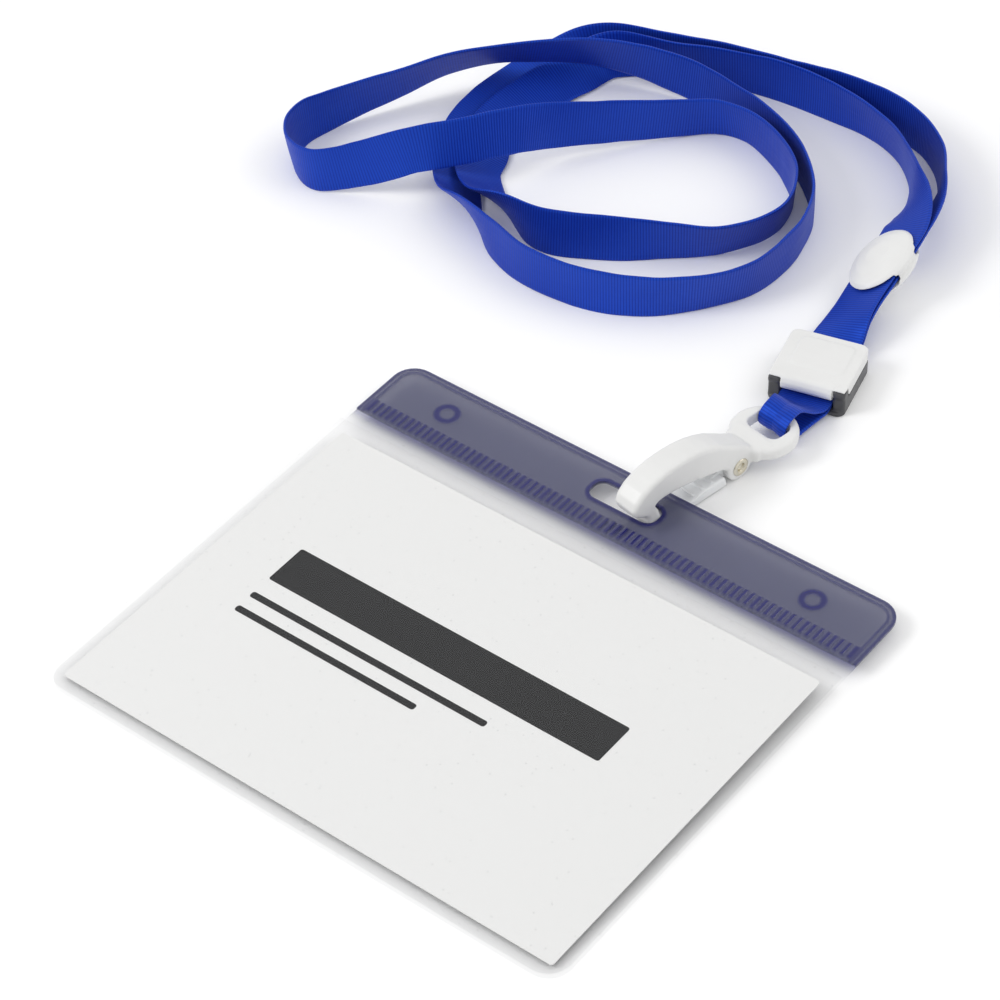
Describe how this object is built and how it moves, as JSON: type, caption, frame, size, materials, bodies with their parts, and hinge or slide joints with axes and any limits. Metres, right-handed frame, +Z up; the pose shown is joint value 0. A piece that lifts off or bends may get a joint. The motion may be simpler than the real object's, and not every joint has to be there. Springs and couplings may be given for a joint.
{
  "type": "lanyard",
  "caption": "Blue woven neck lanyard with strap clamp, oval slider, spring hook and clear card holder",
  "frame": {"origin": "middle of the lying object's footprint on the table, without the loose neck strap", "axes": "+X across the holder to the right, +Y from the holder towards the strap, +Z up from the table"},
  "size_m": [0.1732, 0.2143, 0.0159],
  "materials": {
    "strap": "woven polyester with fine ribs across",
    "white_plastic": "moulded, satin gloss",
    "dark_plastic": "moulded",
    "nickel": "nickel plated, slightly worn",
    "spring_steel": "bare wire",
    "clear_vinyl": "soft clear vinyl sheet",
    "blue_vinyl": "smoky blue translucent vinyl",
    "card": "smooth card with a plain printed form"
  },
  "bodies": {
    "strap": {"neck_strap": "strap", "hook_loop": "strap", "clamp_base": "dark_plastic"},
    "slider": {"oval_slider": "white_plastic"},
    "lid": {"clamp_lid": "white_plastic"},
    "hook": {"hook_body": "white_plastic", "gate_rivet": "nickel"},
    "gate": {"hook_gate": "white_plastic", "gate_spring": "spring_steel"},
    "holder": {"back_sheet": "clear_vinyl", "front_sheet": "clear_vinyl", "band_back": "blue_vinyl", "band_front": "blue_vinyl"},
    "card": {"insert_card": "card"}
  },
  "joints": [
    {"name": "slider_slide", "type": "slide", "parent": "strap", "child": "slider", "axis": [-0.1196, 0.9743, 0.1908], "range_m": [-0.006, 0]},
    {"name": "lid_hinge", "type": "hinge", "parent": "strap", "child": "lid", "pos_m": [0.009, 0.04618, 0.0043], "axis": [0.9681, 0.2504, 0], "range_deg": [0, 100]},
    {"name": "eye_swing", "type": "hinge", "parent": "strap", "child": "hook", "pos_m": [0.01066, 0.03618, 0.004], "axis": [-0.9848, 0.1736, 0], "range_deg": [0, 30]},
    {"name": "gate_pivot", "type": "hinge", "parent": "hook", "child": "gate", "pos_m": [0.00826, 0.02259, 0.0029], "axis": [-0.9848, 0.1736, 0], "range_deg": [0, 14], "stiffness_Nm_per_rad": 0.02, "springref_deg": -11.46},
    {"name": "holder_swing", "type": "hinge", "parent": "hook", "child": "holder", "pos_m": [0, 0.0069, 0.0028], "axis": [-1, 0, 0], "range_deg": [0, 12]},
    {"name": "card_slide", "type": "slide", "parent": "holder", "child": "card", "axis": [0, 0.9997, 0.0244], "range_m": [0, 0.01]}
  ]
}
